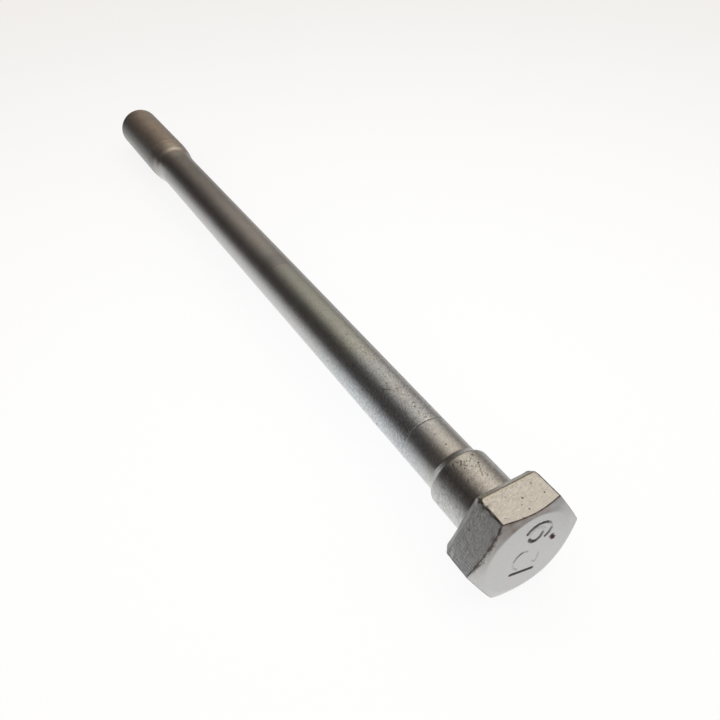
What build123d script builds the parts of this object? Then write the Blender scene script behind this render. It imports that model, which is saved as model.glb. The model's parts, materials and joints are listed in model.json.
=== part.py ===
"""A hexagon-head bolt in one piece, lying on one flat of its head and on the rim of its far end.

Under the head comes a short fitted collar, then a long shank of smaller diameter, and then a thick
end of the collar's diameter. A smooth blend joins the shank to that end. The bolt is drawn along +X
from the outer face of its head, then tilted to rest on the plane Z = 0. The origin is under the
middle of the resting bolt. Lengths are in millimetres and angles in degrees.
"""

import os
from math import asin, atan2, cos, degrees, hypot, radians, tan

from build123d import *

# Head
across_flats = 19.0
head_height = 7.8
face_diameter = 17.3  # the flat circle that the chamfer leaves on the outer face
face_chamfer_angle = 22.0  # between the chamfer and the outer face
bearing_edge_radius = 1.5  # along the six edges on the shank's side of the head
neck_radius = 0.5  # where the collar meets the head

# Collar, with a short cone down to the shank
collar_diameter = 12.0
collar_length = 10.0
collar_rim_radius = 0.3
cone_length = 1.6

# Shank, and the blend that widens it to the thick end
shank_diameter = 10.0
shank_length = 137.5
blend_length = 10.5

# Thick end
end_diameter = 12.0
end_length = 28.0
end_chamfer = 1.0

# Places along the bolt, from the outer face of the head
collar_end = head_height + collar_length
shank_start = collar_end + cone_length
shank_end = shank_start + shank_length
end_start = shank_end + blend_length
bolt_length = end_start + end_length


def make_head():
    """A hexagonal prism with its shank-side edges rounded, inside the cone of the face chamfer."""
    hexagon = Plane.YZ * RegularPolygon(across_flats / 2, 6, major_radius=False)
    prism = extrude(hexagon, head_height)
    bearing_edges = prism.edges().group_by(Axis.X)[-1]
    prism = fillet(bearing_edges, bearing_edge_radius)

    corner_radius = across_flats / 2 / cos(radians(30))
    chamfer_rise = corner_radius - face_diameter / 2
    chamfer_depth = chamfer_rise * tan(radians(face_chamfer_angle))
    cone_outline = Polyline(
        (0, 0),
        (0, face_diameter / 2),
        (chamfer_depth, corner_radius),
        (head_height, corner_radius),
        (head_height, 0),
        close=True,
    )
    return prism & revolve(make_face(cone_outline), Axis.X)


def make_stem():
    """Everything past the head, turned from one half-section."""
    root = (head_height / 2, 0)
    neck = (head_height / 2, collar_diameter / 2)
    collar_rim = (collar_end, collar_diameter / 2)
    shank_near = (shank_start, shank_diameter / 2)
    shank_far = (shank_end, shank_diameter / 2)
    end_near = (end_start, end_diameter / 2)
    end_rim = (bolt_length - end_chamfer, end_diameter / 2)
    end_face_rim = (bolt_length, end_diameter / 2 - end_chamfer)

    # the blend leaves the shank and reaches the end along the bolt's axis
    blend_middle = shank_end + blend_length / 2
    blend = Bezier(
        shank_far,
        (blend_middle, shank_diameter / 2),
        (blend_middle, end_diameter / 2),
        end_near,
    )
    section = make_face(
        [
            Polyline(root, neck, collar_rim, shank_near, shank_far),
            blend,
            Polyline(end_near, end_rim, end_face_rim, (bolt_length, 0), root),
        ]
    )
    rim_corner = section.vertices().sort_by_distance(Vector(*collar_rim))[0]
    section = fillet(rim_corner, collar_rim_radius)
    return revolve(section, Axis.X)


def make_bolt():
    """The head and the stem as one solid, with the small radius between them."""
    bolt = make_head() + make_stem()
    neck_edges = [
        edge
        for edge in bolt.edges().filter_by(GeomType.CIRCLE)
        if abs(edge.center().X - head_height) < 0.01 and abs(edge.radius - collar_diameter / 2) < 0.01
    ]
    return fillet(neck_edges, neck_radius)


def rest_tilt():
    """The angle from the bolt's axis to the plane that touches both its head and its far end.

    That plane is tangent to the rounded edge of the lowest flat and passes through the far rim.
    """
    rise = across_flats / 2 - bearing_edge_radius - end_diameter / 2
    run = bolt_length - end_chamfer - (head_height - bearing_edge_radius)
    return degrees(atan2(rise, run) + asin(bearing_edge_radius / hypot(rise, run)))


bolt = Rot(Y=rest_tilt()) * make_bolt()
box = bolt.bounding_box()
bolt = Pos(-box.center().X, -box.center().Y, -box.min.Z) * bolt
bolt.label = "hex_bolt"

os.makedirs("parts", exist_ok=True)
export_step(bolt, "parts/hex_bolt.step")

print(f"bolt length {bolt_length:.1f}, rest tilt {rest_tilt():.3f} degrees, volume {bolt.volume:.1f}")
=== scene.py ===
import json
import math

import bpy
import numpy as np
from mathutils import Matrix, Vector


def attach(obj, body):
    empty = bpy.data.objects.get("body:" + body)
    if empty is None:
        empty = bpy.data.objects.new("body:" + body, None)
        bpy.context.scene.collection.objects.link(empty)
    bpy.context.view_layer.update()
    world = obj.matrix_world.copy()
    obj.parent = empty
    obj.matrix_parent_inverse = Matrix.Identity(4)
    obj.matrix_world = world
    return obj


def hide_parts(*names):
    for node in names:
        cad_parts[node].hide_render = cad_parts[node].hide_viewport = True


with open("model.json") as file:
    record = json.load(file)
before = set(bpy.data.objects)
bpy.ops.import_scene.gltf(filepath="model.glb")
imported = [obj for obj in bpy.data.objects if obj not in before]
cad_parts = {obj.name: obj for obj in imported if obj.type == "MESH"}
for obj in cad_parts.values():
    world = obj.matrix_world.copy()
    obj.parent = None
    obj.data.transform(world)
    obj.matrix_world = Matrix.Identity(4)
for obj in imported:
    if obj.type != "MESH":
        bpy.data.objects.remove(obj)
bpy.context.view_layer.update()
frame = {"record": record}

print("frame loaded")

millimetre = 0.001
toFlat = math.radians(30)  # from a corner of a hexagon to the middle of the next flat

bolt = {  # lengths in millimetres, angles in degrees; the lengths along the bolt start at its outer face
    "acrossFlats": 18.99,
    "headHeight": 7.8,
    "faceDiameter": 16.8,
    "faceShift": (0.12, 240),  # the chamfer is a little off centre: how far, towards which angle
    "chamferAngle": 19.6,
    # Where the chamfer was cut less or more deep: how much, angle, width
    "chamferSinks": [(0.345, 94, 30), (-0.40, 6, 34)],
    "cornerEdge": 0.45,  # radius of the six edges along the head
    "chamferEdge": 0.12,  # how far the rounding reaches to both sides of the chamfer's outer edge
    "faceEdge": 0.26,  # the same where the chamfer meets the flat face
    "bearingBevel": (1.26, 1.06),  # the worn edge on the shank's side: along the head and across it
    "bevelFades": [(0.13, 34, 11), (0.16, 0, 7), (0.24, 123, 4.5)],  # narrower by a share, angle, width
    "bevelEdge": 0.22,  # rounding on both sides of that edge
    "neckRadius": 0.5,
    "neckSteps": 8,
    "collarSpan": 10.0,  # nominal length of the collar, whose middle carries its mount
    "collarLength": 10.15,  # its length up to the worn rim
    "coneLength": 1.45,
    "shankDiameter": 10.08,
    "shankRows": 40,
    "shankMargins": (1.0, 0.5, 2.2, 0.3),  # short plain stretches after the cone and before the rise
    "step": [  # the rise before the thick end: how far ahead of it, share of the rise in radius, rounding
        (10.8, 0.0, 1.6), (7.1, 0.22, 0.6), (5.8, 0.6, 0.65), (2.0, 0.985, 1.7),
    ],
    "endEdge": 0.8,  # rounding where the rise meets the thick end
    "endLength": 28.0,
    "endChamfer": 1.0,
    "endCore": 0.3,  # radius at which the flat end closes to its middle point
    "collarEdge": 0.26,  # rounding of the collar's rim
    "coneEdge": 0.3,  # rounding of the cone's foot
    "smallEdge": 0.2,  # rounding of the far rims
    "rings": [(28.3, 0.05, 0.13), (87.5, 0.02, 0.12)],  # place, depth and width of the fine grooves
    "ringReach": (0.5, 17),  # reach of the close rows at a groove, and their number
    "headRows": (3, 3, 34, 4, 5),  # rows between the rounded edges of each stretch
    "collarRows": (10, 2, 1),
    "endRows": (0, 3, 1, 3, 2, 8, 2, 8),
    "cornerColumns": 6,  # columns over half of a rounded corner, and from there to the middle of the flat
    "flatColumns": 11,
    "columnCrowding": 1.6,  # closer together near the corner
    "curveRows": 6,  # rows over a rounded edge
    "stampRadius": 7.0,  # the finer disc that carries the number
    "stampGap": 0.4,  # from the disc to the first ring of the head
    "stampGrid": 216,
}

stamp = {  # the strength number, in millimetres on the outer face seen from outside: to the right, up
    "strokes": [  # points, width and depth: the 1
        ([(-3.15, -3.75), (-0.8, -4.47), (1.6, -5.15)], 0.74, 0.31),
        # the 0, struck harder on one side
        ([(-2.75, -0.5), (-2.35, 0.15), (-1.75, 0.62), (-1.2, 0.74)], 0.6, 0.16),
        ([(-1.2, 0.74), (-0.7, 0.66), (-0.2, 0.35)], 0.5, 0.09),
        ([(-2.75, -0.5), (-2.9, -1.5), (-2.6, -2.4)], 0.5, 0.06),
        ([(-2.6, -2.4), (-2.0, -3.05)], 0.55, 0.1),
        ([(1.1, -3.0), (1.8, -3.7), (2.2, -2.7), (2.35, -1.6)], 0.42, 0.09),
        # the back of the 9 and its tail
        ([(-0.75, 5.1), (-0.4, 5.55), (0.3, 5.95), (1.1, 6.1)], 0.85, 0.3),
        ([(1.1, 6.1), (1.9, 6.08), (2.7, 5.8), (3.3, 5.4)], 0.62, 0.28),
        ([(3.3, 5.4), (3.85, 4.9)], 0.5, 0.16),
        ([(3.85, 4.9), (4.2, 4.2), (4.15, 3.5)], 0.45, 0.07),
        ([(4.1, 3.4), (3.75, 2.7), (3.1, 2.2)], 0.78, 0.3),
        ([(1.2, 2.3), (1.9, 2.7), (2.35, 3.4)], 0.8, 0.3),
        ([(1.6, 5.4), (2.4, 5.0), (2.8, 4.3)], 0.4, 0.06),
    ],
    "arcs": [  # centre, half widths, first and last angle, width and depth: the bowl of the 9
        ((1.0, 3.85), (1.35, 1.5), 0, 360, 0.45, 0.04),
        ((1.0, 3.85), (1.35, 1.5), 198, 345, 0.8, 0.32),
    ],
    "arcPoints": 37,
    "dots": [((4.75, 0.75), 0.5, 0.3)],  # centre, radius and depth
    "fullDepth": 0.3,  # where the finish is as dark as it gets
}

wear = {
    "facet": (60, 5.9, 7.3, 0.45),  # a flattened corner: its angle, where it starts and is deepest, its depth
    "facetReach": 17.2,  # degrees to both sides of the corner
    "edgeDents": (1.5, 0.5),  # up to here a dent pushes the edge along the bolt too, by a share of its depth
    "dents": [  # place along the bolt, angle, half length, half width and depth
        (0.9, 49, 0.35, 0.5, 0.10), (0.85, 20, 0.3, 0.6, 0.12), (5.7, 1.5, 0.4, 0.5, 0.12),
        (7.0, 29, 0.35, 0.45, 0.14), (5.1, 60.6, 0.4, 0.45, 0.16), (3.3, 60, 0.5, 0.3, 0.05),
        (1.6, 66, 0.35, 0.35, 0.05), (6.5, 121, 0.5, 0.4, 0.08), (4.2, 182, 0.5, 0.4, 0.10),
        (6.6, 238, 0.6, 0.5, 0.12), (1.2, 300, 0.4, 0.5, 0.08),
    ],
}


def mountNamed(name):
    return next(m for m in frame["record"]["mounts"] if m["name"] == name)


# The bolt's place comes from the frame: its axis, the outer face and the total length
collar, farEnd = mountNamed("collar"), mountNamed("far_end")
axis = Vector(collar["axis"]).normalized()
tilt = math.atan2(-axis.z, axis.x)
bolt["collarDiameter"] = 2 * collar["dims"]["r_mm"]
bolt["endDiameter"] = 2 * farEnd["dims"]["r_mm"]
collarMiddle = bolt["headHeight"] + bolt["collarSpan"] / 2
outerFace = Vector(collar["pos_m"]) - axis * collarMiddle * millimetre
mountGap = (Vector(farEnd["pos_m"]) - Vector(collar["pos_m"])).length / millimetre
bolt["length"] = collarMiddle + mountGap + (bolt["endLength"] + bolt["endChamfer"]) / 2
boltToRow = Matrix.Translation(outerFace) @ Matrix.Rotation(tilt, 4, "Y") @ Matrix.Scale(millimetre, 4)


def cornerTouch(apothem, edge):
    # Degrees from a corner of the hexagon to where its rounding meets the flat
    return 30 - np.degrees(np.arctan(math.tan(toFlat) * (apothem - edge) / apothem))


def hexRadius(angle, apothem, edge):
    # Distance from the axis to a hexagon with rounded corners: the apothem over the cosine of the angle
    # from the middle of the flat, and near a corner the far crossing of a circle set in on the bisector.
    toCorner = np.abs((angle + 30) % 60 - 30)
    flat = apothem / np.cos(np.radians(30 - toCorner))
    centre = (apothem - edge) / math.cos(toFlat)
    sideways = centre * np.sin(np.radians(toCorner))
    corner = centre * np.cos(np.radians(toCorner)) + np.sqrt(np.maximum(edge**2 - sideways**2, 0))
    return np.where(toCorner < cornerTouch(apothem, edge), corner, flat)


# Columns round the bolt: close together at the six corners, wider apart on the flats
touch = cornerTouch(bolt["acrossFlats"] / 2, bolt["cornerEdge"])
cornerSteps = np.linspace(0, touch, bolt["cornerColumns"])
flatSteps = np.linspace(0, 1, bolt["flatColumns"])[1:] ** bolt["columnCrowding"]
half = [*cornerSteps, *(cornerSteps[-1] + (30 - cornerSteps[-1]) * flatSteps)]
sextant = np.array(half + [60 - a for a in half[-2:0:-1]])
angles = (np.arange(6)[:, None] * 60 + sextant).ravel()
columns = len(angles)


def point(along, radius):
    # A corner of the profile for every column: distance along the bolt and distance from its axis
    return np.stack(np.broadcast_arrays(along, radius, np.zeros(columns))[:2]).astype(float)


def roundedRows(corners, reaches, runs):
    # Rows along a line of corners: each inner corner becomes a quadratic curve that starts and ends its
    # reach away, and each straight stretch is divided in cosine steps, close together near the curves.
    turns = [corners[0][None]]
    t = np.linspace(0, 1, bolt["curveRows"])[:, None, None]
    for before, corner, after, reach in zip(corners, corners[1:], corners[2:], reaches):
        back, ahead = before - corner, after - corner
        back, ahead = back / np.hypot(*back), ahead / np.hypot(*ahead)
        turns.append(corner + reach * ((1 - t) ** 2 * back + t**2 * ahead))
    turns.append(corners[-1][None])
    rows = [turns[0]]
    for last, following, steps in zip(turns, turns[1:], runs):
        share = (1 - np.cos(np.linspace(0, math.pi, steps + 2)[1:-1, None, None])) / 2
        rows += [last[-1] + (following[0] - last[-1]) * share, following]
    return np.concatenate(rows)


def bell(angle, middle, width):
    # 1 at one angle and falling to both sides of it as a bell curve, round the whole turn
    return np.exp(-((((angle - middle + 180) % 360 - 180) / width) ** 2))


def headProfile():
    apothem = bolt["acrossFlats"] / 2
    slope = math.tan(math.radians(bolt["chamferAngle"]))
    side = hexRadius(angles, apothem, bolt["cornerEdge"])
    shift, toward = bolt["faceShift"]
    faceRadius = bolt["faceDiameter"] / 2 + shift * np.cos(np.radians(angles - toward))
    sink = sum(depth * bell(angles, middle, width) for depth, middle, width in bolt["chamferSinks"])
    bevelAlong, bevelAcross = bolt["bearingBevel"]
    fade = sum(less * bell(angles, middle, width) for less, middle, width in bolt["bevelFades"])
    bevelAcross = bevelAcross * (1 - fade)
    corners = [
        point(0, bolt["stampRadius"] + bolt["stampGap"]),
        point(0, faceRadius),
        point((side - faceRadius) * slope - sink, side),
        point(bolt["headHeight"] - bevelAlong, side),
        point(bolt["headHeight"], hexRadius(angles, apothem - bevelAcross, bolt["cornerEdge"])),
        point(bolt["headHeight"], bolt["collarDiameter"] / 2 + bolt["neckRadius"]),
    ]
    reaches = [bolt["faceEdge"], bolt["chamferEdge"], bolt["bevelEdge"], bolt["bevelEdge"]]
    return roundedRows(corners, reaches, bolt["headRows"])


def wornHead(rows):
    # The facet cuts a corner with a plane that sinks along the head: no radius goes past the plane's
    # distance over the cosine of the angle from the corner. Each dent sinks as a bell curve in both ways.
    along, radius = rows[:, 0], rows[:, 1]
    angle, start, deepest, depth = wear["facet"]
    turn = np.radians((angles - angle + 180) % 360 - 180)
    reach = hexRadius(np.array([angle]), bolt["acrossFlats"] / 2, bolt["cornerEdge"])[0]
    sunk = depth * np.clip((along - start) / (deepest - start), 0, 1)
    nearCorner = np.abs(turn) < math.radians(wear["facetReach"])
    plane = (reach - sunk) / np.where(nearCorner, np.cos(turn), 1)
    radius = np.where((along > start) & nearCorner, np.minimum(radius, plane), radius)
    edgeEnd, pushed = wear["edgeDents"]
    for place, angle, halfLength, halfWidth, depth in wear["dents"]:
        arc = radius * np.radians((angles - angle + 180) % 360 - 180)
        sunk = depth * np.exp(-(((along - place) / halfLength) ** 2) - (arc / halfWidth) ** 2)
        along, radius = along + sunk * pushed * (along < edgeEnd), radius - sunk
    return np.stack([along, radius], 1)


def stemProfile():
    # The neck is a quarter circle, the grooves sink into the shank as bell curves, and the rest of the stem
    # is straight between rounded corners
    collarRadius = bolt["collarDiameter"] / 2
    shankRadius = bolt["shankDiameter"] / 2
    endRadius = bolt["endDiameter"] / 2
    head, neck, chamfer = bolt["headHeight"], bolt["neckRadius"], bolt["endChamfer"]
    shankStart = head + bolt["collarLength"] + bolt["coneLength"]
    endStart = bolt["length"] - bolt["endLength"]
    afterCone, firstGap, beforeRise, lastGap = bolt["shankMargins"]
    shankEnd = endStart - bolt["step"][0][0] - beforeRise
    quarter = np.radians(np.linspace(0, 90, bolt["neckSteps"]))[1:-1]
    fillet = [
        point(head + neck * (1 - math.cos(turn)), collarRadius + neck * (1 - math.sin(turn)))
        for turn in quarter
    ]
    collarCorners = [
        point(head + neck, collarRadius),
        point(head + bolt["collarLength"], collarRadius),
        point(shankStart, shankRadius),
        point(shankStart + afterCone, shankRadius),
    ]

    ringReach, ringRows = bolt["ringReach"]
    near = np.linspace(-ringReach, ringReach, ringRows)
    plain = np.linspace(shankStart + afterCone + firstGap, shankEnd, bolt["shankRows"])
    along = np.sort(np.concatenate([plain] + [place + near for place, _, _ in bolt["rings"]]))
    sunk = sum(depth * np.exp(-(((along - place) / width) ** 2)) for place, depth, width in bolt["rings"])
    shank = np.stack([point(s, r) for s, r in zip(along, shankRadius - sunk)])

    higher = endRadius - shankRadius
    endCorners = [
        point(shankEnd + lastGap, shankRadius),
        *[point(endStart - ahead, shankRadius + share * higher) for ahead, share, _ in bolt["step"]],
        point(endStart, endRadius),
        point(bolt["length"] - chamfer, endRadius),
        point(bolt["length"], endRadius - chamfer),
        point(bolt["length"], bolt["endCore"]),
    ]
    small = bolt["smallEdge"]
    reaches = [reach for _, _, reach in bolt["step"]] + [bolt["endEdge"], small, small]
    return [
        np.stack(fillet),
        roundedRows(collarCorners, (bolt["collarEdge"], bolt["coneEdge"]), bolt["collarRows"]),
        shank,
        roundedRows(endCorners, reaches, bolt["endRows"]),
    ]


def strokeDepth(right, up):
    # How deep the stamp is at each place: the gap to the nearest piece of each stroke, made a groove
    strokes = [(np.array(path), width, depth) for path, width, depth in stamp["strokes"]]
    for (cy, cz), (ry, rz), first, last, width, depth in stamp["arcs"]:
        turn = np.radians(np.linspace(first, last, stamp["arcPoints"]))
        strokes.append((np.stack([cy + ry * np.cos(turn), cz + rz * np.sin(turn)], 1), width, depth))
    total = np.zeros_like(right)
    here = np.stack([right, up], -1)[:, None]
    for path, width, depth in strokes:
        start, side = path[:-1], np.diff(path, axis=0)
        share = np.clip(((here - start) * side).sum(-1) / (side**2).sum(-1), 0, 1)
        gap = np.linalg.norm(here - start - share[..., None] * side, axis=-1).min(1)
        total = np.maximum(total, groove(gap, width / 2, depth))
    for (cy, cz), radius, depth in stamp["dots"]:
        total = np.maximum(total, groove(np.hypot(right - cy, up - cz), radius, depth))
    return total


def groove(gap, reach, depth):
    # The depth falls from the middle to the edge: 1 minus the squared share of the way, to the power 1.5
    return depth * np.clip(1 - (gap / reach) ** 2, 0, 1) ** 1.5


def stampedDisc():
    # A square grid pressed onto a disc: each side is scaled by the root of 1 minus half the other squared
    size = bolt["stampGrid"]
    v, u = np.meshgrid(*[np.linspace(-1, 1, size)] * 2, indexing="ij")
    right = bolt["stampRadius"] * u * np.sqrt(1 - v**2 / 2)
    up = bolt["stampRadius"] * v * np.sqrt(1 - u**2 / 2)
    depth = strokeDepth(right.ravel(), up.ravel())
    return np.stack([depth, -right.ravel(), up.ravel()], 1)  # right as seen from outside is the bolt's -Y


def edgeTurn(grid):
    # How sharply the skin turns at each point: the change of the normal from row to row and from column
    # to column, over the distance between them, per millimetre. The two tiny lengths avoid a division by 0.
    alongStep = np.gradient(grid, axis=0)
    roundStep = np.roll(grid, -1, 1) - np.roll(grid, 1, 1)
    normal = np.cross(alongStep, roundStep)
    normal /= np.linalg.norm(normal, axis=-1, keepdims=True) + 1e-12
    alongChange = np.gradient(normal, axis=0)
    roundChange = np.roll(normal, -1, 1) - np.roll(normal, 1, 1)
    turns = [
        np.linalg.norm(change, axis=-1) / (np.linalg.norm(step, axis=-1) + 1e-6)
        for step, change in ((alongStep, alongChange), (roundStep, roundChange))
    ]
    return np.maximum(*turns)


def gridFaces(rows, across, first, closed):
    # Four corners of each cell of a grid of points stored row by row
    column = np.arange(across if closed else across - 1)
    row = np.arange(rows - 1)[:, None] * across + first
    right, following = (column + 1) % across, row + across
    return np.stack([row + column, row + right, following + right, following + column], -1).reshape(-1, 4)


def zipFaces(inner, innerAngle, outer, outerAngle):
    # Triangles between two closed rings: the steps of both rings are sorted by angle, and each step
    # makes a triangle with the point that the other ring has reached.
    inner, innerAngle = inner[np.argsort(innerAngle)], np.sort(innerAngle)
    outer, outerAngle = outer[np.argsort(outerAngle)], np.sort(outerAngle)
    onInner = np.concatenate([np.ones(len(inner), bool), np.zeros(len(outer), bool)])
    order = np.argsort(np.concatenate([innerAngle, outerAngle]), kind="stable")
    onInner = onInner[order]
    atInner, atOuter = np.cumsum(onInner), np.cumsum(~onInner)
    a = inner[(atInner - 1) % len(inner)]
    b = outer[(atOuter - 1) % len(outer)]
    innerStep = np.stack([inner[(atInner - 2) % len(inner)], a, b], 1)
    outerStep = np.stack([a, b, outer[(atOuter - 2) % len(outer)]], 1)
    return np.where(onInner[:, None], innerStep, outerStep)


def buildMesh(name, points, quads, triangles):
    mesh = bpy.data.meshes.new(name)
    corners = np.concatenate([quads.ravel(), triangles.ravel()]).astype(np.int32)
    sizes = np.concatenate([np.full(len(quads), 4), np.full(len(triangles), 3)])
    mesh.vertices.add(len(points))
    mesh.vertices.foreach_set("co", points.astype(np.float32).ravel())
    mesh.loops.add(len(corners))
    mesh.loops.foreach_set("vertex_index", corners)
    mesh.polygons.add(len(sizes))
    mesh.polygons.foreach_set("loop_start", np.concatenate([[0], np.cumsum(sizes)[:-1]]).astype(np.int32))
    mesh.polygons.foreach_set("loop_total", sizes.astype(np.int32))
    mesh.polygons.foreach_set("use_smooth", np.ones(len(sizes), bool))
    mesh.update(calc_edges=True)
    mesh.validate()
    piece = bpy.data.objects.new(name, mesh)
    bpy.context.scene.collection.objects.link(piece)
    return piece


def makeBolt():
    profile = np.concatenate([wornHead(headProfile()), *stemProfile()])
    turn = np.radians(angles)
    along, radius = profile[:, 0], profile[:, 1]
    skin = np.stack([along, radius * np.cos(turn), radius * np.sin(turn)], -1)
    sharpness = edgeTurn(skin).ravel()
    skin = skin.reshape(-1, 3)
    disc = stampedDisc()
    pole = np.array([[bolt["length"], 0, 0]])
    points = np.concatenate([skin, disc, pole])
    sharpness = np.concatenate([sharpness, np.zeros(len(disc) + 1)])
    struck = np.concatenate([np.zeros(len(skin)), disc[:, 0] / stamp["fullDepth"], [0]])

    discStart, poleIndex = len(skin), len(points) - 1
    size = bolt["stampGrid"]
    grid = discStart + np.arange(size * size).reshape(size, size)
    rim = np.concatenate([grid[0, :-1], grid[:-1, -1], grid[-1, :0:-1], grid[:0:-1, 0]])
    rimAngle = np.degrees(np.arctan2(points[rim, 2], points[rim, 1])) % 360
    ring = np.arange(columns)
    last = discStart - columns + ring
    quads = np.concatenate([
        gridFaces(len(profile), columns, 0, True),
        gridFaces(size, size, discStart, False),
    ])
    triangles = np.concatenate([
        zipFaces(rim, rimAngle, ring, angles),
        np.stack([last, np.roll(last, -1), np.full(columns, poleIndex)], 1),
    ])
    row = np.array(boltToRow)
    piece = buildMesh("steelBolt", points @ row[:3, :3].T + row[:3, 3], quads, triangles)
    for name, values in (("edgeTurn", sharpness), ("struck", struck)):
        layer = piece.data.attributes.new(name, "FLOAT", "POINT")
        layer.data.foreach_set("value", values.astype(np.float32))
    return piece


steelBolt = makeBolt()
print("bolt made:", len(steelBolt.data.polygons), "faces,", columns, "columns")


class Wire:
    # A socket that arithmetic can be written on: each operator adds a Math node
    def __init__(self, tree, socket=None):
        self.tree = tree
        self.socket = socket

    def make(self, kind, settings=None, inputs=None, output=0):
        node = self.tree.nodes.new(kind)
        for name, value in (settings or {}).items():
            if name == "stops":
                ramp = node.color_ramp.elements
                ramp[0].position, ramp[0].color = value[0]
                ramp[1].position, ramp[1].color = value[-1]
                for place, colour in value[1:-1]:
                    ramp.new(place).color = colour
            else:
                setattr(node, name, value)
        for name, value in (inputs or {}).items():
            if isinstance(value, Wire):
                self.tree.links.new(value.socket, node.inputs[name])
            else:
                node.inputs[name].default_value = value
        return Wire(self.tree, node.outputs[output])

    def other(self, name):
        return Wire(self.tree, self.socket.node.outputs[name])

    def math(self, operation, *values):
        return self.make("ShaderNodeMath", {"operation": operation}, dict(enumerate(values)))

    def vector(self, operation, other, output="Vector"):
        return self.make("ShaderNodeVectorMath", {"operation": operation}, {0: self, 1: other}, output)

    def scaled(self, factor):
        # A vector or a colour times a number
        return self.make("ShaderNodeVectorMath", {"operation": "SCALE"}, {0: self, "Scale": factor})

    def times(self, vector):
        # A number times a fixed vector or colour
        return self.make("ShaderNodeVectorMath", {"operation": "SCALE"}, {0: vector, "Scale": self})

    def step(self, low, high):
        # 0 up to low, 1 from high on, and a soft rise between
        settings = {"interpolation_type": "SMOOTHSTEP"}
        return self.make("ShaderNodeMapRange", settings, {0: self, 1: low, 2: high})

    def between(self, comesIn, fullFrom, fullTo, goesOut):
        # 0, then 1 over a stretch, then 0 again
        return self.step(comesIn, fullFrom) * (1 - self.step(fullTo, goesOut))

    def near(self, middle, full, last):
        # 1 up to the full reach on both sides of the middle, and 0 from the last reach on
        return 1 - self.math("ABSOLUTE", self - middle).step(full, last)

    def bell(self, middle, width):
        # 1 at the middle and falling to both sides of it as a bell curve
        turn = (self - middle) / width
        return self.math("EXPONENT", turn * turn * -1)

    def blend(self, first, second, how="MIX"):
        # Mixes two colours: this socket is the share of the second
        first, second = [(*colour, 1) if isinstance(colour, tuple) else colour for colour in (first, second)]
        settings = {"data_type": "RGBA", "blend_type": how}
        return self.make("ShaderNodeMix", settings, {0: self, 6: first, 7: second}, output=2)

    def tint(self, colour, tint):
        # Multiplies a colour by a tint, by the share of this socket
        return self.blend(colour, tint, "MULTIPLY")

    def noise(self, size, detail, roughness):
        # Cloudy noise between 0 and 1, with patches of about this size
        return self.make("ShaderNodeTexNoise", {},
                         {"Vector": self, "Scale": 1 / size, "Detail": detail, "Roughness": roughness})

    def __add__(self, other):
        return self.math("ADD", self, other)

    def __sub__(self, other):
        return self.math("SUBTRACT", self, other)

    def __rsub__(self, other):
        return self.math("SUBTRACT", other, self)

    def __mul__(self, other):
        return self.math("MULTIPLY", self, other)

    def __truediv__(self, other):
        return self.math("DIVIDE", self, other)

    def __rtruediv__(self, other):
        return self.math("DIVIDE", other, self)

    def __pow__(self, other):
        return self.math("POWER", self, other)

    def __or__(self, other):
        return self.math("MAXIMUM", self, other)

    __radd__ = __add__
    __rmul__ = __mul__


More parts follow.
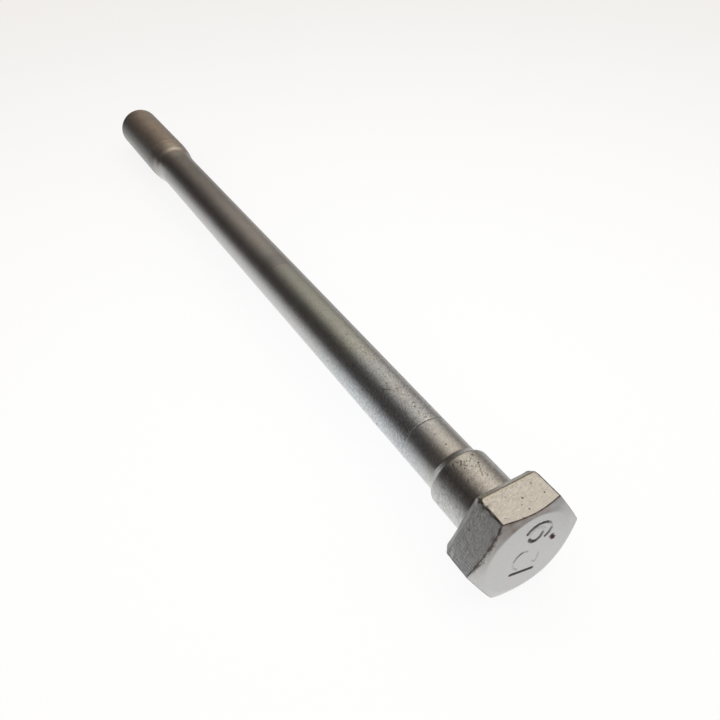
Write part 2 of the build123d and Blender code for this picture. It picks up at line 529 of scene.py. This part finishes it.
steel = {
    # The colour along the bolt is partly the steel's own tone and partly painted reflection: lighter or
    # darker where the steel mirrors more or less light
    "base": [  # place along the bolt in millimetres and the colour there
        (0, (0.500, 0.500, 0.494)), (8, (0.505, 0.512, 0.504)), (20, (0.506, 0.512, 0.506)),
        (30, (0.505, 0.515, 0.519)), (44, (0.527, 0.539, 0.540)), (60, (0.500, 0.508, 0.505)),
        (110, (0.504, 0.508, 0.506)), (145, (0.468, 0.468, 0.466)), (156, (0.490, 0.490, 0.480)),
        (168, (0.470, 0.462, 0.445)), (196, (0.480, 0.472, 0.455)),
    ],
    # Painted shade and painted reflection: strips round the skin made lighter or darker in place of the
    # bright and dark bands that the steel mirrors. Each has four places along the bolt, where it comes in, is
    # full and goes out, a middle angle with its full and last reach to both sides, and the share that it is
    # lighter
    "paintedShading": [
        (17.6, 18.2, 19.2, 19.7, -40, 65, 90, -0.14),
        (8.2, 8.8, 17.2, 18.0, 55, 5, 15, -0.36),
        (18.5, 20, 60, 100, 61, 4, 12, -0.18),
        (8.2, 9, 148, 158, 39, 4, 13, 0.16),
        (8.2, 9, 75, 130, -30, 40, 54, 0.11),
        (34, 60, 138, 155, 150, 17, 26, -0.20),
        (8.2, 9, 146, 156, 152, 11, 17, -0.12),
        (161, 165, 194.3, 194.9, 24, 8, 27, -0.31),
        (154, 158, 162, 165, -20, 46, 60, 0.27),
    ],
    "tintsAndReflections": [  # the same with a colour: partly own tone, partly painted reflection
        (17, 29, 48, 64, -25, 55, 125, (0.97, 0.997, 1.028)),
        (14, 20, 194.3, 194.9, 138, 10, 34, (1.03, 1.0, 0.955)),
        (20, 30, 46, 54, 88, 24, 44, (0.995, 1.045, 1.12)),
        (46, 54, 84, 87.4, 88, 26, 44, (0.985, 1.045, 1.015)),
        (87.3, 87.7, 91.5, 95, 86, 20, 44, (0.82, 0.84, 0.86)),
        (95, 102, 118, 130, 88, 24, 44, (1.07, 1.07, 1.07)),
    ],
    "roughness": {"shank": 0.37, "end": 0.44, "patches": 0.06, "worn": 0.18, "rust": 0.3},
    "endFrom": (158, 167),  # where the rougher finish of the thick end comes in
    # Warmer, lighter patches on the thick end's upper side: partly a stain, partly painted warm reflection
    "endStain": ((1.35, 1.21, 1.09), (154, 166, 194.3, 194.9), (82, 20, 52)),  # tint, places, angles
    "stainAndSheenShare": 0.9,
    "stipple": [  # place along the bolt and strength of the fine speckle there
        (0, 0.16), (1.2, 0.38), (8, 0.9), (14, 1.0), (18, 0.6), (26, 0.7), (29, 1.35), (43, 1.25),
        (60, 0.7), (90, 0.22), (150, 0.08), (162, 0.45), (196, 0.5),
    ],
    "pitShare": [  # the same for the share of ragged pits
        (0, 0.0), (1.2, 0.3), (8, 0.4), (13, 0.6), (16.5, 1.05), (18.5, 0.3), (28, 0.35), (33, 0.75),
        (44, 0.65), (55, 0.45), (75, 0.25), (150, 0.1),
    ],
    "pitSizes": [(0.6, 1.0), (0.33, 0.7)],  # with their strength
    "pitDetail": (2.5, 0.5),  # detail and roughness of their noise
    "pitTop": (0.755, 0.80, 0.115),  # noise level where they begin and are full, lowered by a share
    "pitClouds": (0.35, 0.7, 1.3, 0.35),  # levels of the clouds they gather in, share there and elsewhere
    "pitsFrom": (0.05, 0.3),  # none on the outer face itself
    "noises": {  # size in millimetres, detail and roughness
        "cloud": (4.5, 3, 0.55), "grain": (0.3, 1.5, 0.6), "patches": (2.2, 2, 0.5), "drift": (6.0, 2, 0.5),
        "streaks": (0.34, 1.5, 0.6), "lines": (1.3, 2, 0.5), "edges": (1.4, 3, 0.6),
        "border": (0.9, 2, 0.55), "turned": (1.0, 3, 0.6),
    },
    "shake": (3.0, 4, 0.7),  # ragged edges of all marks: noise per millimetre, detail and reach
    "driftTint": (1.03, 0.985, 0.955),  # of wide warmer patches
    "driftLevels": (0.38, 0.62, 0.5),  # noise level where they begin and are full, and their strength
    "streakShape": 0.35,  # width of the streaks as a share of their length
    "tones": {"patches": 0.10, "grain": 0.85, "streaks": 1.0, "lines": 0.42, "rings": 0.04},
    "heights": {  # in hundredths of a millimetre
        "grain": 1.0, "streaks": 1.2, "patches": 2.5, "lines": 0.3, "rings": 0.5,
        "pits": 1.2, "dark": 2.5, "light": 1.5,
    },
    # One flat of the head has a coarser finish, with fine lines along its lower part
    "flatAngles": (0, 3, 54, 59),
    "flatPlaces": (0.9, 1.4, 6.2, 6.8),
    "flatGrain": 0.62,  # how much coarser
    "flatTint": (1.005, 1.02, 1.045),
    "lineSpacing": 0.43,
    "lineWaver": 6,
    "lineLevels": (-0.6, 1.0, 0.45),  # where in a wave a line begins and is full, and its plain level
    "lineGaps": (0.35, 0.62),  # noise level where they begin and are full
    "lineEnd": (-2.5, 2.0),  # where they end, measured across the flat from its middle
    "edges": {  # edges darkened by oxide, with painted shade along the stem's grooves on one side
        "turns": (0.9, 2.6),  # how sharp an edge begins to be darkened, and when it is fully
        "gaps": (0.3, 0.62, 0.4),  # noise level where it is least and most, and the least share
        "corner": (60, 4, 8),  # the most worn corner: its angle, full and last reach
        "cornerFrom": (1, 2),
        "cornerEnd": (6.0, 6.7, 0.7),  # where it ends, and how much less it is from there
        "face": (1.2, 1.6, 118, 124, 0.6),  # round the face, up to here, and past this angle it is less
        "stem": (86, 18, 26),  # the side of the stem whose edges and grooves get painted shade
        "stemFrom": (8, 8.5, 0.8),  # from here the other sides are darkened less
        "end": (150, 152),  # no edge is darkened from here on
    },
    "oxide": (0.075, 0.055, 0.042),
    "oxideShares": {"rubbedAndShaded": 0.85, "corner": 0.13, "struck": 0.75, "border": 0.8, "lip": 0.42},
    # The chamfer's browner and paler patches: tint, middle angle, full and last reach
    "coneWidth": 1.1,  # distance out from the face where its sinks are full
    "coneStart": (8.2, 8.55),  # distance from the axis at which the patches come in
    "coneEnd": (0.06, 0.16),  # and where they go, past the chamfer's outer edge
    "brownChamfer": ((0.56, 0.46, 0.41), (80, 14, 54)),
    "brownPatches": (0.8, 1.6),  # its plain strength and how much the patches change it
    "paleChamfer": ((1.16, 1.15, 1.17), (152, 12.8, 32)),
    # The worn bevel on the shank's side: its places, and the tints and angles of two stretches
    "bevelPlaces": (5.6, 6.7, 7.7, 7.8),
    "upperBevel": ((0.96, 0.90, 0.80), (58, 62, 119, 122)),
    "nextBevel": ((0.34, 0.346, 0.356), (-2, 3, 53, 60)),
    "nextFrom": (6.5, 6.7),
    "nextFade": (14, 34, 0.25),  # weaker by a share before these angles
    "borderAngles": (1, 8, 56, 60),  # of the ragged dark border beside the chamfer
    "borderShake": (1.3, 0.2),  # how ragged it is, and the patches' start by a share of that
    "borderWidth": (0.12, 0.55),
    "borderDepth": (0.12, 0.6),  # the same under the flat
    "borderLow": (4, 16, 0.22),  # wider near one corner: angle, width, how much
    "lipWidth": 0.26,  # of the thin darker lip along the upper flat
    "lipDepth": (0.05, 0.6),
    "turnedPlaces": (156, 158, 161, 163),  # fine rings that the tool left on the rise
    "turnedWaves": (9, 3),  # their radians per millimetre and how much they waver
    "turnedEnd": (162, 168, 2.5),  # where the turned finish of the thick end comes in, and its strength
    "turnedShape": (1.3, 0.12),  # how close its noise is along the bolt and across
    "fleck": (0.12, 0.10, 0.085),
    "fleckShares": {"pits": 0.7, "dark": 0.8},
    "bright": (0.75, 0.75, 0.72),
    "brightShare": 0.8,
    "rust": (0.060, 0.028, 0.024),
    "rustDull": 0.8,  # how much less metallic it is
    "rustSpots": [(0.2, 0.35, 0.62), (-0.2, -0.35, 0.55)],  # from the stamped dot: across, up and radius
}

marks = {  # places on the skin: distance along the bolt and angle round it
    "spotEdge": (0.55, 1.15),  # where a spot is full and where it ends, in its radius
    "scratchEdge": (0.5, 1.3),  # the same for a scratch, in its half width
    "spots": [  # with their radius
        (5.0, 108.6, 0.13), (2.5, 111.6, 0.15), (3.4, 91.8, 0.16), (2.4, 85.8, 0.1), (1.3, 89, 0.12),
        (1.7, 65.4, 0.13), (5.1, 61, 0.16), (5.3, 34, 0.18), (5.8, 38, 0.12), (5.7, 57.5, 0.15),
        (6.9, 28.5, 0.22), (1.5, 30, 0.12), (2.6, 24, 0.1), (3.2, 47, 0.1), (2.2, 95, 0.1), (4.9, 79, 0.12),
        (0.45, 78, 0.14), (0.5, 50, 0.16), (0.3, 32, 0.14),
        (15.9, 91, 0.16), (15, 101, 0.18), (12, 97, 0.14), (13.1, 67, 0.2), (17.1, 66, 0.26),
        (15.3, 31, 0.16), (16.9, 74, 0.2), (16.7, 79, 0.22), (16.4, 83, 0.16), (16.2, 87, 0.14),
        (16.3, 96, 0.16), (16.9, 104, 0.2),
        (24.8, 82, 0.18), (21.8, 85, 0.16), (20.1, 68, 0.16), (31.1, 102, 0.14), (33.4, 97, 0.16),
        (31.6, 100, 0.16), (32.6, 97, 0.14), (33.4, 101, 0.12), (32.4, 92, 0.16), (34.6, 86, 0.14),
        (30.4, 88, 0.12), (47.5, 88, 0.14), (44.6, 92, 0.12), (50.2, 96, 0.16), (57.2, 93, 0.18),
        (66.8, 94, 0.16), (63, 87, 0.13), (52.8, 22, 0.16),
    ],
    "scratchesAndHighlights": [  # two ends, half width and how much lighter or darker than the steel
        ((16.0, 73), (16.7, 80), 0.13, -0.7),
        ((16.7, 80), (17.4, 76), 0.10, -0.6),
        ((12.3, 90), (14.0, 96), 0.09, -0.55),
        ((14.0, 96), (15.1, 102), 0.10, -0.6),
        ((13.2, 66), (12.6, 76), 0.08, -0.5),
        ((40.0, 61.5), (38.7, 77), 0.13, -1.0),
        ((2.15, 75.5), (2.0, 82.5), 0.09, 0.5),
        ((6.0, 2.5), (5.3, 3.5), 0.14, 0.5),
        # A painted highlight along the second fine groove, not a scratch
        ((87.5, 70), (87.5, 86), 0.15, 1.0),
        ((87.5, 86), (87.5, 106), 0.14, 0.8),
    ],
}


def skinPlace(along, angle):
    # The place on the bolt's skin, in its own frame: on the head the hexagon, then the round stem
    radius = bolt["shankDiameter"] / 2
    if along < bolt["headHeight"]:
        radius = float(hexRadius(np.array([angle]), bolt["acrossFlats"] / 2, bolt["cornerEdge"])[0])
    elif along < bolt["headHeight"] + bolt["collarLength"]:
        radius = bolt["collarDiameter"] / 2
    turn = math.radians(angle)
    return Vector((along, radius * math.cos(turn), radius * math.sin(turn)))


def nearSpot(place, centre, radius):
    # 1 inside a ball round the centre, and 0 outside
    full, last = marks["spotEdge"]
    return 1 - place.vector("DISTANCE", centre, "Value").step(full * radius, last * radius)


def nearLine(place, first, second, halfWidth):
    # 1 near the line between two places: the nearest point on it is the clamped share of the way
    side = second - first
    share = place.vector("SUBTRACT", first).vector("DOT_PRODUCT", side / side.length_squared, "Value")
    share = share.math("MINIMUM", share | 0, 1)
    gap = place.vector("DISTANCE", share.times(side).vector("ADD", first), "Value")
    full, last = marks["scratchEdge"]
    return 1 - gap.step(full * halfWidth, last * halfWidth)


def strongest(masks):
    # The largest of several masks
    total = masks[0]
    for mask in masks[1:]:
        total = total | mask
    return total


def pitted(place, size, share):
    # Ragged pits: where fine noise, raised by the share, comes near its top
    begin, full, raised = steel["pitTop"]
    return (place.noise(size, *steel["pitDetail"]) + share * raised).step(begin, full)


def colourAlong(along, stops):
    # A colour that changes along the bolt
    length = bolt["length"]
    ramp = [(place / length, (*colour, 1)) for place, colour in stops]
    return along.make("ShaderNodeValToRGB", {"stops": ramp}, {"Fac": along / length}, output="Color")


def amountAlong(along, stops):
    # A number that changes along the bolt: the ramp holds half of it, so that it stays below 1
    return colourAlong(along, [(place, (amount / 2,) * 3) for place, amount in stops]) * 2


def handMarks(place, shaken):
    # Dark specks, scratches darker or lighter than the steel, and a painted highlight along one groove
    halfShaken = place.vector("ADD", shaken).scaled(0.5)
    dark = [nearSpot(shaken, skinPlace(along, angle), radius) for along, angle, radius in marks["spots"]]
    light = []
    for first, second, halfWidth, tone in marks["scratchesAndHighlights"]:
        scratch = nearLine(halfShaken, skinPlace(*first), skinPlace(*second), halfWidth) * abs(tone)
        (dark if tone < 0 else light).append(scratch)
    return strongest(dark), strongest(light)


def rubbedAndShadedEdges(place, along, angle, sharpCorner):
    # Edges darkened unevenly, partly by oxide worn into them and partly as painted shade: on the stem only
    # one side of the grooves and rims is darkened. Less round the face past one corner and on the stem's
    # lower side
    edges = steel["edges"]
    turn = place.make("ShaderNodeAttribute", {"attribute_name": "edgeTurn"}, output="Fac")
    full, last, firstAngle, fullAngle, less = edges["face"]
    share = 1 - (1 - along.step(full, last)) * angle.step(firstAngle, fullAngle) * less
    first, full, less = edges["stemFrom"]
    share = share - along.step(first, full) * (1 - angle.near(*edges["stem"])) * less
    share = share * (1 - along.step(*edges["end"]))
    low, high, least = edges["gaps"]
    uneven = place.noise(*steel["noises"]["edges"]).step(low, high) * (1 - least) + least
    rubbedAndShaded = turn.step(*edges["turns"]) * (uneven | sharpCorner * along.step(*edges["cornerFrom"])) * share
    first, full, less = edges["cornerEnd"]
    return rubbedAndShaded * (1 - sharpCorner * along.step(first, full) * less)


def pastChamfer(along, angle, fromAxis):
    # How far a place is past the chamfer's outer edge along the bolt, on the flats and on the chamfer itself:
    # the edge lies on a cone, and the same sinks as in the shape move it
    outside = fromAxis - bolt["faceDiameter"] / 2
    grown = outside.math("MINIMUM", outside / steel["coneWidth"], 1)
    onFlats = along - outside * math.tan(math.radians(bolt["chamferAngle"]))
    sinks = [angle.bell(middle, width) * grown * depth for depth, middle, width in bolt["chamferSinks"]]
    return onFlats + sinks[0], onFlats + sum(sinks)


def finishSteel():
    material = bpy.data.materials.new("wornSteel")
    material.use_nodes = True
    tree = material.node_tree
    shader = tree.nodes["Principled BSDF"]
    start = Wire(tree)
    place = start.make("ShaderNodeMapping", {}, {
        "Vector": start.make("ShaderNodeTexCoord", output="Object"),
        "Location": boltToRow.inverted().translation,
        "Rotation": (0, -tilt, 0),
        "Scale": (1 / millimetre,) * 3,
    })
    along = start.make("ShaderNodeSeparateXYZ", {}, {0: place})
    side, up = along.other("Y"), along.other("Z")
    angle = start.math("DEGREES", start.math("ARCTAN2", up, side))
    fromAxis = start.math("SQRT", side * side + up * up)

    def patch(places, angles):
        # Full over a stretch of the bolt and near one angle
        return along.between(*places) * angle.near(*angles)

    # Ragged edges for everything that is placed one by one
    dense, detail, reach = steel["shake"]
    noise = {"Vector": place, "Scale": dense, "Detail": detail}
    shake = place.make("ShaderNodeTexNoise", {}, noise, output="Color").vector("SUBTRACT", (0.5, 0.5, 0.5))
    shaken = place.vector("ADD", shake.scaled(reach))
    dark, light = handMarks(place, shaken)

    noises = steel["noises"]
    cloud = place.noise(*noises["cloud"])
    low, high, more, least = steel["pitClouds"]
    share = amountAlong(along, steel["pitShare"]) * (cloud.step(low, high) * more + least)
    pits = strongest([pitted(place, size, share) * strength for size, strength in steel["pitSizes"]])
    pits = pits * along.step(*steel["pitsFrom"])
    grain = place.noise(*noises["grain"]) - 0.5
    patches = place.noise(*noises["patches"]) - 0.5
    onFlat = angle.between(*steel["flatAngles"]) * along.between(*steel["flatPlaces"])
    level = amountAlong(along, steel["stipple"]) * (1 + onFlat * steel["flatGrain"])

    # Short fine streaks that run askew round the bolt: noise drawn out along one diagonal of its skin
    roundSkin = angle * (math.pi / 180 * bolt["shankDiameter"] / 2)
    drawnOut = (along + roundSkin) * steel["streakShape"]
    streaks = start.make("ShaderNodeCombineXYZ", {}, {0: along - roundSkin, 1: drawnOut, 2: fromAxis})
    streaks = (streaks.noise(*noises["streaks"]) - 0.5) * level

    struck = start.make("ShaderNodeAttribute", {"attribute_name": "struck"}, output="Fac")
    sharpCorner = angle.near(*steel["edges"]["corner"])
    rubbedAndShaded = rubbedAndShadedEdges(place, along, angle, sharpCorner)

    # Fine lines along one flat
    acrossFlat = up * math.cos(toFlat) - side * math.sin(toFlat)
    wave = acrossFlat * (2 * math.pi / steel["lineSpacing"]) + cloud * steel["lineWaver"]
    low, high, plain = steel["lineLevels"]
    lines = start.math("SINE", wave).step(low, high) - plain
    lines = lines * onFlat * (1 - acrossFlat.step(*steel["lineEnd"]))
    lineShare = place.noise(*noises["lines"]).step(*steel["lineGaps"])

    # Fine rings that the tool left on the rise, and a turned finish on the thick end
    dense, waver = steel["turnedWaves"]
    rings = start.math("SINE", along * dense + cloud * waver) * along.between(*steel["turnedPlaces"])
    close, wide = steel["turnedShape"]
    turned = start.make("ShaderNodeCombineXYZ", {}, {0: along * close, 1: side * wide, 2: up * wide})
    first, full, strength = steel["turnedEnd"]
    rings = rings + (turned.noise(*noises["turned"]) - 0.5) * along.step(first, full) * strength

    # Colour
    tones = steel["tones"]
    tone = patches * tones["patches"] + grain * level * tones["grain"] + streaks * tones["streaks"]
    tone = tone + lines * lineShare * tones["lines"] + rings * tones["rings"]
    # The colour along the bolt, partly painted reflection
    colour = colourAlong(along, steel["base"]).scaled(1 + tone)
    low, high, strength = steel["driftLevels"]
    drift = place.noise(*noises["drift"]).step(low, high) * strength
    colour = drift.tint(colour, steel["driftTint"])
    past, onCone = pastChamfer(along, angle, fromAxis)
    ragged, startRagged = steel["borderShake"]
    shift = (place.noise(*noises["border"]) - 0.5) * ragged
    chamfer = (fromAxis + shift * startRagged).step(*steel["coneStart"])
    chamfer = chamfer * (1 - onCone.step(*steel["coneEnd"]))
    tint, angles = steel["brownChamfer"]
    plain, changed = steel["brownPatches"]
    colour = (chamfer * angle.near(*angles) * (plain + patches * changed)).tint(colour, tint)
    tint, angles = steel["paleChamfer"]
    colour = (chamfer * angle.near(*angles)).tint(colour, tint)
    colour = onFlat.tint(colour, steel["flatTint"])
    # Painted shade and painted reflection in strips round the bolt
    colour = colour.scaled(1 + sum(patch(row[:4], row[4:7]) * row[7] for row in steel["paintedShading"]))
    # Colour changes by side and place: partly the steel's own tone, partly painted reflection
    for row in steel["tintsAndReflections"]:
        colour = patch(row[:4], row[4:7]).tint(colour, row[7])
    bevel = along.between(*steel["bevelPlaces"])
    tint, angles = steel["upperBevel"]
    above = angle.between(*angles)
    colour = (bevel * above).tint(colour, tint)
    tint, angles = steel["nextBevel"]
    first, full, less = steel["nextFade"]
    beside = angle.between(*angles) * (angle.step(first, full) * less + (1 - less))
    colour = (bevel * beside * along.step(*steel["nextFrom"])).tint(colour, tint)
    # Partly a stain, partly painted warm reflection on the thick end's upper side
    tint, places, angles = steel["endStain"]
    colour = (patch(places, angles) * (steel["stainAndSheenShare"] + patches)).tint(colour, tint)
    # Light scratches, and a painted highlight along the second fine groove
    colour = (light * steel["brightShare"]).blend(colour, steel["bright"])

    # Dark ragged border where one flat meets the chamfer, and a thin darker lip along the upper flat
    apothem = bolt["acrossFlats"] / 2
    below = apothem - side * math.cos(toFlat) - up * math.sin(toFlat)
    middle, width, wider = steel["borderLow"]
    border = 1 - (past + shift - angle.bell(middle, width) * wider).step(*steel["borderWidth"])
    border = border * (1 - (below + shift).step(*steel["borderDepth"]))
    border = border * angle.between(*steel["borderAngles"])
    lip = (1 - past.step(0, steel["lipWidth"])) * (1 - (apothem - up).step(*steel["lipDepth"])) * above
    shares = steel["oxideShares"]
    # Edge oxide, with painted shade along the stem's grooves on one side
    oxide = rubbedAndShaded * (shares["rubbedAndShaded"] + sharpCorner * shares["corner"])
    oxide = oxide | struck * shares["struck"] | border * shares["border"] | lip * shares["lip"]
    colour = oxide.blend(colour, steel["oxide"])
    shares = steel["fleckShares"]
    colour = (pits * shares["pits"] | dark * shares["dark"]).blend(colour, steel["fleck"])
    dotRight, dotUp = stamp["dots"][0][0]
    rust = strongest([
        nearSpot(shaken, Vector((0, right - dotRight, dotUp + higher)), radius)
        for right, higher, radius in steel["rustSpots"]
    ])
    colour = rust.blend(colour, steel["rust"])

    rough = steel["roughness"]
    roughness = along.step(*steel["endFrom"]) * (rough["end"] - rough["shank"]) + rough["shank"]
    worn = pits | dark | rubbedAndShaded | struck
    roughness = roughness + patches * rough["patches"] + worn * rough["worn"] + rust * rough["rust"]
    high = steel["heights"]
    height = grain * level * high["grain"] + streaks * high["streaks"] + patches * high["patches"]
    height = height + lines * high["lines"] + rings * high["rings"]
    height = height - (pits * high["pits"] | dark * high["dark"]) + light * high["light"]
    heights = {"Height": height, "Distance": 0.01 * millimetre, "Strength": 1.0}
    relief = start.make("ShaderNodeBump", {}, heights)
    tree.links.new(colour.socket, shader.inputs["Base Color"])
    tree.links.new(roughness.socket, shader.inputs["Roughness"])
    tree.links.new((1 - rust * steel["rustDull"]).socket, shader.inputs["Metallic"])
    tree.links.new(relief.socket, shader.inputs["Normal"])
    return material


steelBolt.data.materials.append(finishSteel())
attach(steelBolt, "root")
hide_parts("hex_bolt")
print("bolt finished")


studio = {
    "floorSize": 6.0,  # metres
    "floorWhite": 0.97,
    "floorGlow": 0.86,  # share of the floor that is plain paper, the rest takes light and shadow
    # Painted fall of light: the paper glows brighter than white near the bolt and dimmer further out
    "paper": (1.03, 1.03, 1.032),  # the floor as the camera sees it near the bolt and far from it
    "farPaperShade": (0.88, 0.855, 0.835),
    "farMiddle": -0.06,  # where the next two distances start, in metres
    "farFrom": (0.0, 0.38),  # where the far colour comes in
    "whiteFrom": (0.5, 1.4),  # where it goes back to white, for views along the floor
    # Painted pool of light: in what the steel mirrors, the floor glows brighter round the bolt and its head
    "pool": (0.0155, 0.86, 1.28, 0.32),  # the floor as steel mirrors it: radius, fall, strength, far level
    "poolHalfLength": 0.10,
    "apron": (1.145, 0.63, 0.009, 0.034),  # the same before the head: near and far level, where it falls
    "apronEnd": (-0.0985, -0.0965),  # where the pool takes over, at the outer face
    # A painted shadow on the floor beside the thick end
    "farPool": (0.062, 0.074, 0.27),  # darker by a share beside the thick end: from where to where
    "room": (0.034, 0.027, 0.027),
    "softLights": [  # heading and height in degrees, tightness, colour
        (-59.2, 59.9, 8.5, (1.70, 1.53, 1.29)),
        (-49.7, 21.9, 32.8, (0.465, 0.412, 0.369)),
        (150.0, 50.0, 7.0, (0.9, 0.88, 0.86)),
    ],
    "fill": (1.0, 1.0, 1.0),  # plain light from the whole sky on the floor
}


white = (1.0, 1.0, 1.0)


def makeFloor():
    half = studio["floorSize"] / 2
    corners = np.array([(-half, -half, 0), (half, -half, 0), (half, half, 0), (-half, half, 0)])
    floor = buildMesh("floor", corners, np.array([[0, 1, 2, 3]]), np.zeros((0, 3), int))
    material = bpy.data.materials.new("paleFloor")
    material.use_nodes = True
    tree = material.node_tree
    tree.nodes.clear()
    start = Wire(tree)
    place = start.make("ShaderNodeTexCoord", output="Object")
    x = start.make("ShaderNodeSeparateXYZ", {}, {0: place})
    y = x.other("Y")
    beyond = (start.math("ABSOLUTE", x) - studio["poolHalfLength"]) | 0
    away = start.math("SQRT", beyond * beyond + y * y)
    # Painted pool of light in what the steel mirrors, and a painted shadow beside the thick end
    reach, fall, strength, far = studio["pool"]
    pool = strength / (1 + (away / reach) ** fall) + far
    near, distant, first, last = studio["apron"]
    before = 1 - x.step(*studio["apronEnd"])
    pool = pool + before * (near + away.step(first, last) * (distant - near) - pool)
    first, last, less = studio["farPool"]
    pool = pool * (1 - x.step(first, last) * less)
    camera = start.make("ShaderNodeLightPath", output="Is Camera Ray")
    mirror = camera.other("Is Glossy Ray")
    seen = camera + camera.other("Is Transmission Ray")
    # The paper glows brighter near the bolt than further out, a painted fall of light
    fromMiddle = x - studio["farMiddle"]
    distance = start.math("SQRT", fromMiddle * fromMiddle + y * y)
    paper = distance.step(*studio["farFrom"]).blend(studio["paper"], studio["farPaperShade"])
    paper = distance.step(*studio["whiteFrom"]).blend(paper, white)
    paper = mirror.blend(paper, white)
    paper = start.make("ShaderNodeEmission", {}, {"Color": paper.scaled(seen + mirror * pool)})
    matt = start.make("ShaderNodeBsdfDiffuse", {}, {"Color": (*[studio["floorWhite"]] * 3, 1)})
    share = (seen + mirror) * studio["floorGlow"]
    mixed = start.make("ShaderNodeMixShader", {}, {0: share, 1: matt, 2: paper})
    out = tree.nodes.new("ShaderNodeOutputMaterial")
    tree.links.new(mixed.socket, out.inputs["Surface"])
    floor.data.materials.append(material)


def makeSky():
    world = bpy.data.worlds.new("studioSky")
    world.use_nodes = True
    bpy.context.scene.world = world
    tree = world.node_tree
    tree.nodes.clear()
    start = Wire(tree)
    toward = start.make("ShaderNodeTexCoord", output="Generated")
    light = start.make("ShaderNodeCombineXYZ", {}, dict(enumerate(studio["room"])))
    for heading, height, tightness, colour in studio["softLights"]:
        a, e = math.radians(heading), math.radians(height)
        centre = (math.cos(e) * math.cos(a), math.cos(e) * math.sin(a), math.sin(e))
        aim = toward.vector("DOT_PRODUCT", centre, "Value")
        glow = start.math("EXPONENT", (aim - 1) * tightness)
        light = light.vector("ADD", glow.times(colour))
    camera = start.make("ShaderNodeLightPath", output="Is Camera Ray")
    mixed = camera.other("Is Diffuse Ray").blend(light, studio["fill"])
    mixed = (camera + camera.other("Is Transmission Ray")).blend(mixed, white)
    background = start.make("ShaderNodeBackground", {}, {"Color": mixed, "Strength": 1.0})
    out = tree.nodes.new("ShaderNodeOutputWorld")
    tree.links.new(background.socket, out.inputs["Surface"])


makeFloor()
makeSky()
print("studio made")


view = {
    "place": (-0.144192, 0.055706, 0.109396),  # metres, in the row frame
    "target": (-0.035073, -0.006161, 0.0),  # where the middle of the view meets the floor
    "roll": -1.310,  # degrees
    "lens": 37.53,
    "sensor": 36.0,
    "nearest": 0.005,  # metres
}


def makeCamera():
    data = bpy.data.cameras.new("camera")
    data.lens, data.sensor_width, data.clip_start = view["lens"], view["sensor"], view["nearest"]
    camera = bpy.data.objects.new("camera", data)
    bpy.context.scene.collection.objects.link(camera)
    place = Vector(view["place"])
    ahead = Vector(view["target"]) - place
    aim = ahead.to_track_quat("-Z", "Y").to_matrix().to_4x4()
    roll = Matrix.Rotation(math.radians(view["roll"]), 4, "Z")
    camera.matrix_world = Matrix.Translation(place) @ aim @ roll
    bpy.context.scene.camera = camera


makeCamera()
bpy.context.scene.view_settings.view_transform = "Standard"
